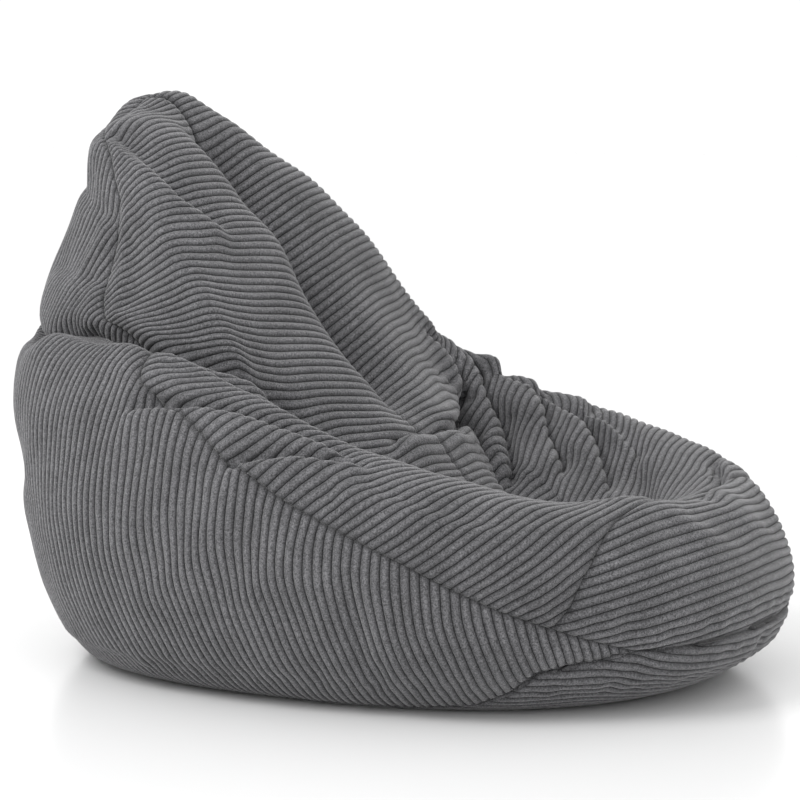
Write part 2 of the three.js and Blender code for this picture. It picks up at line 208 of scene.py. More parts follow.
class Grid:
    """The body as rows of evenly spaced points, with fewer points in the short rows near its two middles."""

    LONGEST_ROW = 3.2  # metres, for the number of points in the fullest rows
    BATCH = 16  # that number is a multiple of this, so that it can be halved
    FEWEST = 10
    SPARSEST = 0.62  # a row is halved when its points lie nearer than this share of the cell

    def __init__(self, cell):
        half_turn = np.linspace(0, math.pi, 361)
        most = max(self.BATCH, int(round(self.LONGEST_ROW / cell / self.BATCH)) * self.BATCH)
        places = [0.0]
        for k in range(len(RINGS) - 1):
            step = ring_points(RINGS[k + 1], half_turn) - ring_points(RINGS[k], half_turn)
            steps = max(1, math.ceil(np.linalg.norm(step, axis=1).max() / cell))
            places += [k + (i + 1) / steps for i in range(steps)]
        curves = [row_points(p, half_turn) for p in places]
        lengths = [2 * np.linalg.norm(np.diff(c, axis=0), axis=1).sum() for c in curves]
        counts = [self._count(length, cell, most) for length in lengths]
        counts[0] = counts[-1] = 1
        for i in range(2, len(counts) - 1):
            counts[i] = min(counts[i], 2 * counts[i - 1])
        for i in range(len(counts) - 3, 0, -1):
            counts[i] = min(counts[i], 2 * counts[i + 1])
        self.places, self.counts = places, counts
        self.starts = np.concatenate([[0], np.cumsum(counts)])
        self.points = np.concatenate([self._row(c, n) for c, n in zip(curves, counts)])
        self.row = np.repeat(np.arange(len(counts)), counts)
        self.share = np.concatenate([np.arange(n) / n for n in counts])
        self.cells = self._cells()

    def _count(self, length, cell, most):
        count = most
        while count > self.FEWEST and count % 2 == 0 and length / count < self.SPARSEST * cell:
            count //= 2
        return count

    @staticmethod
    def _row(curve, count):
        if count == 1:
            return curve[:1]
        travelled = np.concatenate([[0], np.cumsum(np.linalg.norm(np.diff(curve, axis=0), axis=1))])
        share = np.arange(count) / count
        folded = np.minimum(share, 1 - share) * 2 * travelled[-1]
        points = np.stack([np.interp(folded, travelled, curve[:, i]) for i in range(3)], -1)
        points[:, 0] *= np.where(share > 0.5, -1, 1)
        return points

    def _cells(self):
        cells = []
        for r in range(len(self.counts) - 1):
            n, m = self.counts[r], self.counts[r + 1]
            a, b = self.starts[r], self.starts[r + 1]
            j = np.arange(max(min(n, m), 1))
            if n == 1 or m == 1:
                j = np.arange(max(n, m))
                k = (j + 1) % max(n, m)
                tip = np.full(len(j), a if n == 1 else b)
                first, second = (b + k, b + j) if n == 1 else (a + j, a + k)
                cells.append(np.stack([first, second, tip, tip], 1))
            elif n == m:
                k = (j + 1) % n
                cells.append(np.stack([a + j, a + k, b + k, b + j], 1))
            else:
                fewer, more = (a, b) if n < m else (b, a)
                k, low, mid = (j + 1) % min(n, m), more + 2 * j, more + 2 * j + 1
                high = more + (2 * j + 2) % max(n, m)
                for corners in ((fewer + j, mid, low), (fewer + j, fewer + k, mid), (fewer + k, high, mid)):
                    corners = corners if n < m else corners[::-1]
                    cells.append(np.stack([*corners, corners[-1]], 1))
        return np.concatenate(cells)

    def polygons(self):
        """The cells as lists of point numbers, with three for a triangle."""
        return [list(dict.fromkeys(cell)) for cell in self.cells.tolist()]

    def carry(self, values, other):
        """Values on this grid's points, read off at another grid's points."""
        places = np.array(self.places)
        place = np.array(other.places)[other.row]
        low = np.clip(np.searchsorted(places, place, side="right") - 1, 0, len(places) - 2)
        t = ((place - places[low]) / (places[low + 1] - places[low]))[:, None]
        return (1 - t) * self._read(values, low, other.share) + t * self._read(values, low + 1, other.share)

    def _read(self, values, rows, share):
        counts, starts = np.array(self.counts)[rows], self.starts[rows]
        spot = share * counts
        j = np.floor(spot).astype(int)
        t = (spot - j)[:, None]
        t = t * t * (3 - 2 * t) * 0.5 + t * 0.5
        return (1 - t) * values[starts + j % counts] + t * values[starts + (j + 1) % counts]


def cell_normals(points, cells):
    a, b, c, d = (points[cells[:, i]] for i in range(4))
    return np.cross(c - a, d - b)


def gathered(cells, values, count):
    """For each point, the sum of the values of the cells around it."""
    total = np.zeros((count, 3))
    for corner in range(4):
        for axis in range(3):
            total[:, axis] += np.bincount(cells[:, corner], values[:, axis], count)
    return total


def point_normals(points, cells):
    return unit(gathered(cells, cell_normals(points, cells), len(points)))


# ---- seams ----

def inside(y, z, outline):
    """Which side-view points lie inside a closed outline."""
    hit = np.zeros(len(y), bool)
    for (y0, z0), (y1, z1) in zip(outline, outline[1:] + outline[:1]):
        if z0 != z1:
            hit ^= ((z0 > z) != (z1 > z)) & (y < (y1 - y0) * (z - z0) / (z1 - z0) + y0)
    return hit


def seam_distance(points, normals, line):
    """Distance along the surface to a seam that is drawn in the side view."""
    y, z = points[:, 1] / MM, points[:, 2] / MM
    best, toward = np.full(len(y), np.inf), np.zeros((len(y), 2))
    for (y0, z0), (y1, z1) in zip(line, line[1:]):
        dy, dz = y1 - y0, z1 - z0
        along = np.clip(((y - y0) * dy + (z - z0) * dz) / (dy ** 2 + dz ** 2), 0, 1)
        gap = np.stack([y - y0 - along * dy, z - z0 - along * dz], -1)
        distance = np.linalg.norm(gap, axis=1)
        nearer = distance < best
        best, toward = np.where(nearer, distance, best), np.where(nearer[:, None], gap, toward)
    slant = (toward * normals[:, 1:]).sum(1) / np.maximum(best, 1e-9)
    return best * MM / np.sqrt(np.maximum(1 - slant ** 2, 0.1))


def seam_fields(points, normals, place):
    """For each seam, the distance to it, positive on one side and negative on the other."""
    x, y, z = points.T / MM
    lines = {"base": list(BASE_SEAM), "front": [*FRONT_SEAM, FRONT_CORNER],
             "back": [*BACK_SEAM, FRONT_CORNER]}
    rear_base = lines["base"][:BASE_SEAM.index(FRONT_CORNER)]
    ends = {"base": [(-700, -700), (700, -700)], "front": [BASE_SEAM[-1], (-700, 900)],
            "back": rear_base[::-1] + [(700, 900)]}
    fields = {name: seam_distance(points, normals, line) * np.where(inside(y, z, line + ends[name]), 1, -1)
              for name, line in lines.items()}
    fields["middle"] = points[:, 0] / np.sqrt(np.maximum(1 - normals[:, 0] ** 2, 0.1))
    half_width, half_length, middle_y, lowest = SEAT_OVAL
    lining = (x / half_width) ** 2 + ((y - middle_y) / half_length) ** 2 < 1
    lining &= (z > lowest) & (place > RIM_PLACE)
    fields["back"] = np.where(lining, -np.maximum(np.abs(fields["back"]), LINING_CLEARANCE), fields["back"])
    return fields


# ---- ribs ----

def rib_field(points, normals, cells, use, runs, mirrored_sign):
    """How many metres of cloth lie before each point, counted across the ribs.

    runs holds stretches of rib on the +X half, each a path of points in millimetres. The field's slope
    follows them, turned a quarter turn, and is evened out so that the ribs keep their pitch.
    """
    keep = use[cells].all(1)
    cells = cells[keep]
    names, cells = np.unique(cells, return_inverse=True)
    cells = cells.reshape(-1, 4)
    p, n = points[names].copy(), normals[names].copy()
    left = p[:, 0] < 0
    p[left, 0] *= -1
    n[left, 0] *= -1
    pairs = [pair for run in runs for pair in zip(run, run[1:])]
    starts, ends = (np.array([pair[i] for pair in pairs]) * MM for i in (0, 1))
    middles, headings = (starts + ends) / 2, unit(ends - starts)
    weight = 1 / (((p[:, None] - middles[None]) ** 2).sum(-1) + 0.02 ** 2) ** 2
    heading = weight @ headings
    heading = unit(heading - (heading * n).sum(1, keepdims=True) * n)
    wanted = np.cross(n, heading)
    wanted[left, 0] *= -1
    wanted[left] *= mirrored_sign
    p, n = points[names], normals[names]
    sides = np.concatenate([cells[:, [i, (i + 1) % 4]] for i in range(4)])
    areas = np.tile(np.linalg.norm(cell_normals(p, cells), axis=1) / 2, 4)
    real = sides[:, 0] != sides[:, 1]
    sides, areas = np.sort(sides[real], axis=1), areas[real]
    keys, spot = np.unique(sides[:, 0] * len(p) + sides[:, 1], return_inverse=True)
    a, b = keys // len(p), keys % len(p)
    step = p[b] - p[a]
    stiffness = np.bincount(spot, areas) / np.maximum((step ** 2).sum(1), 1e-10)
    u = np.zeros(len(p))
    target = wanted
    for pull in (0.6, 0.3, None):
        rise = (step * (target[a] + target[b])).sum(1) / 2
        u = solve_rises(u, a, b, stiffness, rise)
        if pull:
            target = unit(unit(slopes(p, cells, u)) + pull * wanted)
    field = np.zeros(len(points))
    field[names] = u
    return field


def solve_rises(u, a, b, stiffness, rise):
    """The values whose rises along the grid's sides are nearest to the wanted ones (conjugate gradients)."""
    count = len(u)

    def apply(v):
        flow = stiffness * (v[b] - v[a])
        return np.bincount(b, flow, count) - np.bincount(a, flow, count)

    pull = stiffness * rise
    goal = np.bincount(b, pull, count) - np.bincount(a, pull, count)
    diagonal = np.bincount(a, stiffness, count) + np.bincount(b, stiffness, count)
    residue = goal - apply(u)
    scaled = residue / diagonal
    search, power = scaled.copy(), residue @ scaled
    first = power
    for _ in range(900):
        image = apply(search)
        stride = power / (search @ image)
        u = u + stride * search
        residue = residue - stride * image
        scaled = residue / diagonal
        fresh = residue @ scaled
        if fresh < 1e-9 * first:
            break
        search, power = scaled + fresh / power * search, fresh
    return u - u.mean()


def slopes(points, cells, values):
    """The slope of the values at each point, in the surface."""
    e = points[cells[:, 2]] - points[cells[:, 0]]
    f = points[cells[:, 3]] - points[cells[:, 1]]
    de, df = values[cells[:, 2]] - values[cells[:, 0]], values[cells[:, 3]] - values[cells[:, 1]]
    ee, ff, ef = (e * e).sum(1), (f * f).sum(1), (e * f).sum(1)
    spread = np.maximum(ee * ff - ef * ef, 1e-16)
    slope = (((de * ff - df * ef) / spread)[:, None] * e + ((df * ee - de * ef) / spread)[:, None] * f)
    return gathered(cells, slope * np.sqrt(spread)[:, None], len(points))


# ---- cutting cells along lines ----

class Sheet:
    """Cells over points, with named values at the points. A cell is a list of point numbers."""

    def __init__(self, points, normals, values, cells):
        self.points, self.normals, self.values, self.cells = points, normals, values, cells

    def take(self, chosen):
        """The sheet with only these cells, and the points that they use."""
        cells = [self.cells[i] for i in chosen]
        used, flat = np.unique(np.concatenate([np.array(c) for c in cells]), return_inverse=True)
        ends = np.cumsum([len(c) for c in cells])
        cells = [part.tolist() for part in np.split(flat, ends[:-1])]
        values = {name: v[used] for name, v in self.values.items()}
        return Sheet(self.points[used], self.normals[used], values, cells)

    def cut(self, value, to_level, to_value):
        """Cuts the cells where a value passes a whole level.

        Returns the new sheet, each new cell's band between two levels, and for each side of the old cells
        that no other cell shares, its corners with the new points between them.
        """
        count = len(self.points)
        level = to_level(value)
        level = np.where(level == np.round(level), level + 1e-6, level)
        loop = np.concatenate([np.array(c) for c in self.cells])
        after = np.concatenate([np.array(c[1:] + c[:1]) for c in self.cells])
        pairs = np.minimum(loop, after) * count + np.maximum(loop, after)
        keys, side, shared = np.unique(pairs, return_inverse=True, return_counts=True)
        p, q = keys // count, keys % count
        low, high = np.minimum(level[p], level[q]), np.maximum(level[p], level[q])
        first = np.floor(low).astype(int) + 1
        passes = np.maximum(np.ceil(high).astype(int) - first, 0)
        start = count + np.concatenate([[0], np.cumsum(passes)[:-1]])
        edge = np.repeat(np.arange(len(keys)), passes)
        at = first[edge] + np.arange(len(edge)) - (start - count)[edge]
        a, b = p[edge], q[edge]
        t = np.clip((to_value(at) - value[a]) / (value[b] - value[a]), 0, 1)[:, None]
        points = np.concatenate([self.points, bowed(self.points, self.normals, a, b, t)])
        normals = np.concatenate([self.normals, unit(self.normals[a] * (1 - t) + self.normals[b] * t)])
        t = t[:, 0]
        values = {name: np.concatenate([v, v[a] * (1 - t) + v[b] * t]) for name, v in self.values.items()}
        rising = (level[after] > level[loop]).tolist()
        band = np.floor(level).astype(int).tolist()
        side, first, passes, start, shared = (v.tolist() for v in (side, first, passes, start, shared))
        cells, bands, rims = [], [], []
        k = 0
        for cell in self.cells:
            parts = {}
            for i, corner in enumerate(cell):
                parts.setdefault(band[corner], []).append(corner)
                e = side[k]
                between = list(range(start[e], start[e] + passes[e]))
                at = first[e]
                if not rising[k]:
                    between.reverse()
                    at += passes[e] - 1
                for point in between:
                    parts.setdefault(at - 1, []).append(point)
                    parts.setdefault(at, []).append(point)
                    at += 1 if rising[k] else -1
                if shared[e] == 1:
                    rims.append([corner, *between, cell[(i + 1) % len(cell)]])
                k += 1
            for number, part in parts.items():
                if len(part) > 2:
                    cells.append(part)
                    bands.append(number)
        return Sheet(points, normals, values, cells), np.array(bands), rims

    def part(self, value, positive):
        """The side of the sheet where a value is positive, or where it is negative."""
        whole = max(np.abs(value).max(), 1e-9) * 1.01
        sheet, bands, _ = self.cut(value, lambda v: v / whole, lambda level: level * whole)
        return sheet.take(np.flatnonzero(bands == (0 if positive else -1)))


def bowed(points, normals, a, b, t):
    """Points on smooth curves that leave and reach each pair of points along the surface."""
    pa, pb, na, nb = points[a], points[b], normals[a], normals[b]
    step = pb - pa
    first = pa + (step - (step * na).sum(1, keepdims=True) * na) / 3
    second = pb - (step - (step * nb).sum(1, keepdims=True) * nb) / 3
    s = 1 - t
    return s ** 3 * pa + 3 * s * s * t * first + 3 * s * t * t * second + t ** 3 * pb


# ---- folds ----

# Each crease runs along a path of points in millimetres, has a width and a depth, and a fuller lip on its
# outer or lower side that rises by lip and leans over the crease by lean.
CREASES = (
    # where the hood goes under the near arm, and the two folds below it
    (((-225, 450, 456), (-246, 417, 458), (-301, 311, 460), (-317, 256, 456), (-323, 195, 447),
      (-317, 121, 431), (-295, 62, 410), (-258, 15, 386), (-222, -30, 362)), 24, 34, 16, 20),
    (((-412, 214, 386), (-408, 144, 392), (-401, 81, 393), (-396, 21, 384), (-390, -29, 371),
      (-380, -85, 352), (-362, -140, 334)), 19, 19, 12, 12),
    (((-440, 30, 322), (-428, -37, 336), (-404, -103, 337), (-372, -165, 328)), 19, 13, 10, 8),
    # pleats down the far arm's inside
    (((262, 104, 458), (266, 90, 443), (272, 80, 428), (278, 66, 395), (270, 48, 355), (215, 10, 340),
      (151, -16, 331), (50, -65, 311)), 20, 32, 14, 16),
    (((372, 135, 430), (358, 118, 428), (345, 98, 423), (334, 59, 393), (299, 16, 355), (271, -22, 311),
      (221, -60, 266), (168, -93, 222)), 21, 26, 14, 14),
    (((398, 52, 390), (375, 28, 388), (345, 8, 378), (330, -45, 352), (300, -80, 325), (264, -109, 301),
      (227, -142, 270), (185, -173, 243)), 21, 22, 12, 12),
    (((402, -35, 362), (375, -45, 366), (345, -60, 362), (318, -118, 328), (298, -155, 308),
      (265, -190, 285), (220, -220, 262), (162, -260, 228)), 21, 19, 11, 10),
    (((390, -135, 330), (360, -140, 338), (325, -150, 338), (308, -190, 326), (289, -219, 313),
      (268, -243, 297), (230, -280, 264)), 24, 15, 9, 6),
    # where the front panel's top stands over the far arm's end
    (((-20, -465, 258), (50, -465, 258), (120, -448, 264), (190, -425, 264),
      (280, -375, 262)), 16, 13, 8, 8),
    # the roll across the seat below the near half of the hood
    (((-119, -43, 318), (-40, -56, 320), (55, -63, 318), (160, -35, 318),
      (262, -8, 316)), 17, 22, 12, 14),
    # the near lobe of the hood, which stands above the band beside the centre seam
    (((-110, 420, 765), (-131, 398, 746), (-157, 345, 726), (-177, 284, 692), (-179, 248, 662),
      (-160, 215, 635), (-125, 195, 612)), 36, 20, 12, 4),
    # the valley between the two halves of the hood, with the seam at its bottom
    (((0, 350, 770), (0, 290, 705), (0, 235, 640), (0, 150, 540), (0, 70, 440),
      (0, -10, 360)), 75, 32, 4, 0),
    (((0, 300, 715), (0, 260, 665), (0, 200, 592), (0, 130, 505), (0, 70, 430),
      (0, -10, 350)), 28, 18, 16, 18),
    # the hood's back edge, near and far
    (((-20, 470, 668), (-120, 445, 660), (-185, 400, 646), (-235, 335, 618)), 34, 7, 4, 2),
    (((-120, 500, 545), (-190, 458, 556), (-240, 395, 556), (-275, 330, 545)), 34, 5, 3, 2),
    (((250, 350, 640), (190, 412, 630), (110, 455, 640), (30, 474, 650)), 24, 9, 7, 5),
    (((285, 330, 520), (235, 420, 520), (150, 480, 540), (50, 505, 560)), 26, 10, 7, 5),
    # soft dents low on the back and the far side
    (((60, 560, 330), (190, 552, 300), (290, 500, 285)), 34, 9, 5, 0),
    (((430, -60, 250), (440, 60, 225), (425, 180, 240)), 36, 8, 5, 0),
    (((-170, 552, 300), (-270, 520, 270), (-350, 455, 260)), 60, 5, 3, 0),
)

# Fuller and slacker places of the filling: the middle of each, its reach and how it moves. Millimetres.
BULGES = (
    ((-350, 250, 395), 110, (0, 0, 48)),  # the near arm, where it rises to the hood
    ((-365, 100, 375), 110, (0, 0, 36)),
    ((-360, -10, 365), 70, (0, 0, 10)),
    ((-270, 370, 420), 80, (0, 0, 26)),
    ((-150, 540, 475), 130, (0, 3, -24)),
    ((-60, 525, 485), 60, (0, 14, 0)),  # the hood's skirt over the arm's end
    ((-150, 560, 415), 70, (0, -12, 0)),
    ((-150, -425, 262), 80, (0, -4, 20)),  # the front panel's top
    ((0, -460, 255), 90, (0, -4, 9)),
    ((350, 130, 390), 75, (0, -12, 52)),  # the far arm, where it runs into the hood
    ((355, 40, 375), 60, (0, 0, 14)),
    ((325, -104, 342), 60, (0, 0, -8)),
    ((25, 400, 790), 55, (8, -8, 14)),  # the crest of the hood's far half
    ((60, 310, 730), 60, (6, -8, 13)),
    ((134, 233, 657), 65, (7, -9, 12)),
    ((190, 170, 575), 65, (7, -8, 10)),
    ((-50, 435, 790), 60, (0, 4, -24)),  # the near corner of the hood's top
    ((-100, 430, 735), 60, (-8, 12, 4)),
    ((-60, 300, 700), 60, (6, -6, 4)),  # the near half's roll over the valley
    ((-70, 190, 590), 70, (14, -8, 6)),
)


def bulged(points):
    """The points after the filling has gathered in some places and left others."""
    moved = points.copy()
    for centre, radius, push in BULGES:
        distance = np.linalg.norm(points - np.array(centre) * MM, axis=1)
        moved += np.exp(-((distance / (radius * MM)) ** 2))[:, None] * np.array(push) * MM
    return moved


def creased(points, normals, rolled=True):
    """The points after every crease has drawn the cloth in and rolled its lip over itself.

    Without the rolls each crease is a plain wide trough, as on what lies under the cover.
    """
    for path, width, depth, lip, lean in CREASES:
        if not rolled:
            width, depth, lip, lean = TROUGH_WIDTH * width, TROUGH_DEPTH * depth, 0, 0
        width, depth, lip, lean = width * MM, depth * MM, lip * MM, lean * MM
        line = np.array(path) * MM
        legs = np.linalg.norm(np.diff(line, axis=0), axis=1)
        travelled = np.concatenate([[0], np.cumsum(legs)])
        distance = np.full(len(points), np.inf)
        offset, heading, facing = (np.zeros_like(points) for _ in range(3))
        share = np.zeros(len(points))
        around = [np.exp(-(np.linalg.norm(points - corner, axis=1) / (1.3 * width)) ** 2) for corner in line]
        outward = unit(np.array([weight @ normals for weight in around]))
        for i, leg in enumerate(legs):
            way = (line[i + 1] - line[i]) / leg
            along = np.clip((points - line[i]) @ way, 0, leg)
            gap = points - line[i] - along[:, None] * way
            far = np.linalg.norm(gap, axis=1)
            near = far < distance
            distance = np.where(near, far, distance)
            offset[near], heading[near] = gap[near], way
            share[near] = ((travelled[i] + along) / travelled[-1])[near]
            facing[near] = (outward[i] + (along / leg)[:, None] * (outward[i + 1] - outward[i]))[near]
        # The numbers with width are how far each effect reaches, and where the roll beside the crease peaks.
        common = np.exp(-((distance / (2.5 * width)) ** 2))[:, None]
        facing = unit(common * unit(facing) + (1 - common) * normals)
        across = unit(np.cross(facing, heading))
        side = (offset * across).sum(1)
        fade = smooth(share / END_FADE) * smooth((1 - share) / END_FADE)
        reach = np.exp(-((distance / (4.5 * width)) ** 2))
        before, after = np.maximum(-side, 0) / width, np.maximum(side, 0) / width
        sunk = np.exp(-((before / 0.5) ** 2) - after ** 2) * np.exp(-((distance / (3 * width)) ** 2))
        roll = before / 0.8 * np.exp(1 - before / 0.8) * reach
        drift = before / 0.65 * np.exp(1 - before / 0.65) * reach + 0.2 * sunk
        points = points + facing * (fade * (lip * roll - depth * sunk))[:, None]
        points = points + across * (fade * lean * drift)[:, None]
    return points


def plumped(points, fields):
    """The points after the filling has pushed the panels out between their seams, a little unevenly."""
    normals = point_normals(points, body.cells)
    seam = np.minimum(np.abs(fields["back"]), np.abs(fields["front"]))
    seam = np.minimum(seam, np.where(fields["base"] < 0, np.abs(fields["base"]) * BASE_SEAM_TIGHTNESS, seam))
    raised = smooth((points[:, 2] - PLUMP_START) / PLUMP_RISE)
    push = sum(height * noise(points, breadth, seed) for height, breadth, seed in SWELLS)
    push -= SEAM_DRAW * np.exp(-((seam / SEAM_DRAW_WIDTH) ** 2))
    return points + normals * (push * raised)[:, None]


def settled(points, fields):
    """How a short cloth simulation moves the points: it puckers the cloth between the seams that hold it."""
    coarse = Grid(CLOTH_CELL)
    start = body.carry(points, coarse)
    held = np.minimum(np.abs(fields["back"]), np.minimum(np.abs(fields["front"]), np.abs(fields["base"])))
    held = body.carry(held[:, None], coarse)[:, 0]
    grip = np.exp(-((held / CLOTH_GRIP_WIDTH) ** 2)) * CLOTH_GRIP
    lowest, highest = FLOOR_HOLD
    grip = np.maximum(grip, 1 - smooth((start[:, 2] - lowest) / (highest - lowest)))
    mesh = bpy.data.meshes.new("settling")
    mesh.from_pydata(start.tolist(), [], coarse.polygons())
    cloth_object = bpy.data.objects.new("settling", mesh)
    bpy.context.scene.collection.objects.link(cloth_object)
    pins = cloth_object.vertex_groups.new(name="held")
    for i, weight in enumerate(grip.tolist()):
        if weight > 0.02:
            pins.add([i], weight, "REPLACE")
    cloth = cloth_object.modifiers.new("cloth", "CLOTH")
    for name, value in CLOTH_SETTINGS.items():
        setattr(cloth.settings, name, value)
    cloth.settings.effector_weights.gravity = 0.4
    cloth.collision_settings.use_collision = False
    cloth.collision_settings.use_self_collision = False
    cloth.point_cache.frame_start, cloth.point_cache.frame_end = 1, CLOTH_FRAMES
    scene = bpy.context.scene
    for number in range(1, CLOTH_FRAMES + 1):
        scene.frame_set(number)
    done = cloth_object.evaluated_get(bpy.context.evaluated_depsgraph_get()).to_mesh()
    end = np.zeros(len(start) * 3)
    done.vertices.foreach_get("co", end)
    scene.frame_set(1)
    bpy.data.objects.remove(cloth_object)
    bpy.data.meshes.remove(mesh)
    move = end.reshape(-1, 3) - start
    length = np.linalg.norm(move, axis=1, keepdims=True)
    move *= MOST_SETTLING * np.tanh(length / MOST_SETTLING) / np.maximum(length, 1e-9)
    return coarse.carry(move, body)


# ---- the run of the ribs ----

# Stretches of rib on the +X half, each a path of points: on the hood, arms and seat they run outward
# from the centre seam, on the back and sides upward from the floor, on the front outward from the middle.
SIDE_RIBS = (
    ((0, 370, 790), (70, 372, 790)), ((20, 345, 752), (70, 335, 752)), ((142, 270, 694), (170, 294, 700)),
    ((187, 317, 697), (199, 346, 668)), ((17, 261, 642), (185, 241, 640)),
    ((221, 271, 652), (228, 307, 628), (222, 352, 586)), ((92, 159, 566), (178, 173, 570)),
    ((261, 218, 579), (250, 301, 552), (257, 339, 516)), ((13, 172, 540), (119, 143, 536)),
    ((252, 159, 543), (276, 226, 508)), ((276, 226, 514), (283, 288, 478)),
    ((78, 92, 477), (140, 117, 504), (277, 158, 476)), ((107, 70, 455), (182, 91, 456)),
    ((256, 104, 461), (296, 132, 443)), ((0, 20, 385), (70, 20, 390)),
    ((92, 20, 394), (163, 41, 404), (223, 66, 408)), ((276, 80, 418), (305, 118, 413), (325, 209, 392)),
    ((391, -96, 344), (405, -59, 343), (433, 12, 323)),
    ((379, -216, 315), (416, -162, 303), (442, -102, 273)),
    ((250, 12, 296), (292, -14, 337), (342, -24, 369)),
    ((198, -139, 251), (250, -119, 289), (325, -83, 339)),
    ((176, -239, 237), (232, -225, 263), (289, -209, 312)),
    ((162, -355, 251), (216, -349, 273), (278, -331, 291)),
    ((335, -306, 298), (371, -288, 287), (422, -217, 248)), ((280, -385, 279), (332, -369, 262)),
    ((371, -338, 232), (401, -291, 184)), ((223, -404, 273), (311, -396, 256), (356, -367, 219)),
    ((0, -218, 172), (90, -218, 190)), ((0, -100, 275), (80, -100, 280)), ((0, -340, 200), (80, -340, 205)),
    ((0, -430, 250), (80, -430, 255)),
)
BACK_RIBS = (
    ((412, 58, 58), (437, 78, 114), (452, 105, 170), (456, 132, 232)), ((448, 148, 277), (433, 158, 319)),
    ((403, 158, 357), (359, 164, 380)), ((415, -72, 72), (443, -60, 144)),
    ((456, -50, 212), (443, -68, 286)), ((363, -250, 44), (398, -241, 100)),
    ((415, -234, 149), (422, -235, 206)), ((170, 404, 645), (143, 416, 694)),
    ((188, 439, 573), (173, 427, 608)), ((237, 422, 497), (229, 402, 533), (225, 378, 558)),
    ((269, 365, 473), (262, 344, 502)), ((0, 500, 100), (0, 545, 300)), ((0, 550, 320), (0, 562, 450)),
    ((0, 545, 535), (0, 495, 680)), ((0, 490, 690), (0, 452, 790)),
    ((330, 440, 60), (345, 450, 200), (330, 455, 380)), ((180, 500, 60), (185, 535, 250)),
    ((120, 480, 600), (110, 460, 690)),
)
BORDER_RIBS = (
    ((0, -505, 30), (100, -500, 30), (200, -475, 30)), ((300, -390, 28), (350, -300, 28)),
    ((375, -200, 28), (388, -100, 28)), ((392, 0, 28), (390, 100, 28)), ((385, 180, 28), (360, 280, 25)),
    ((320, 350, 24), (240, 410, 22)), ((150, 445, 22), (50, 458, 22), (0, 458, 22)),
)
FRONT_RIBS = (
    ((0, -540, 212), (109, -533, 203), (239, -488, 180), (314, -430, 158)),
    ((0, -551, 176), (82, -548, 173), (194, -519, 158), (287, -459, 135), (323, -419, 116)),
    ((0, -565, 105), (120, -555, 105)), ((0, -490, 250), (100, -485, 250)),
)


def rib_level(value):
    whole = np.floor(value)
    count = len(RIB_STEPS)
    return count * whole + np.interp(value - whole, (*RIB_STEPS, 1.0), np.arange(count + 1))


def rib_value(level):
    count = len(RIB_STEPS)
    return level // count + np.array(RIB_STEPS)[level % count]


def rib_height(value):
    """Height of the pile over a rib's cross-section, 0 in the groove and 1 on the crown."""
    return np.sin(math.pi * (value - np.floor(value))) ** RIB_ROUNDNESS


# ---- the cover ----

def new_piece(name, points, faces, smooth_shading=True):
    mesh = bpy.data.meshes.new(name)
    mesh.from_pydata(np.asarray(points).tolist(), [], faces)
    mesh.polygons.foreach_set("use_smooth", np.full(len(mesh.polygons), smooth_shading))
    mesh.update()
    obj = bpy.data.objects.new(name, mesh)
    bpy.context.scene.collection.objects.link(obj)
    return obj


def declare(obj, material, body_name, node):
    """Gives a piece its material, attaches it to its body and hides the imported node that it stands for."""
    obj.data.materials.append(material)
    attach(obj, body_name)
    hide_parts(node)


def closed_faces(outer, inner_cells, rims):
    """The faces of a sheet with a thickness: outside, inside turned over and the edges between them."""
    first = len(outer.points)
    faces = outer.cells + [[first + i for i in reversed(cell)] for cell in inner_cells]
    return faces + [[*reversed(rim), first + rim[0], first + rim[-1]] for rim in rims]


def cover_panel(name, sheet, edges, node, turned=SEAM_DEPTH):
    """One sewn panel: its ribbed outside, its plain inside and the edge that turns in along the seams."""
    edge = np.min([np.abs(sheet.values[e]) for e in edges], axis=0)
    sheet.values = {"rib": sheet.values["rib"], "edge": edge}
    fine, _, rims = sheet.cut(sheet.values["rib"], rib_level, rib_value)
    crown = rib_height(fine.values["rib"])
    edge = fine.values["edge"]
    overhang, rise = RIB_END
    rib_end = smooth((edge + overhang) / rise)
    bulk = 1 + RIB_UNEVENNESS * noise(fine.points, 0.05, seed=11)
    turn_in = turned * np.exp(-((edge / SEAM_WIDTH) ** 2))
    outside = fine.points + fine.normals * (RIB_DEPTH * bulk * (crown - 0.5) * rib_end - turn_in)[:, None]
    outside[:, 2] = np.maximum(outside[:, 2], FLOOR_GAP)
    inside_points = sheet.points - sheet.normals * (turned + EDGE_THICKNESS)
    obj = new_piece(name, np.concatenate([outside, inside_points]), closed_faces(fine, sheet.cells, rims))
    # Painted shade and highlight: the rib's height goes to the material, which colours the grooves dark and the
    # crowns light.
    shade = np.concatenate([crown * rib_end, np.zeros(len(inside_points))])
    painted_rib_shading = obj.data.attributes.new("crown", "FLOAT", "POINT")
    painted_rib_shading.data.foreach_set("value", shade.astype(np.float32))
    declare(obj, corduroy, "chair", node)


# ---- materials ----

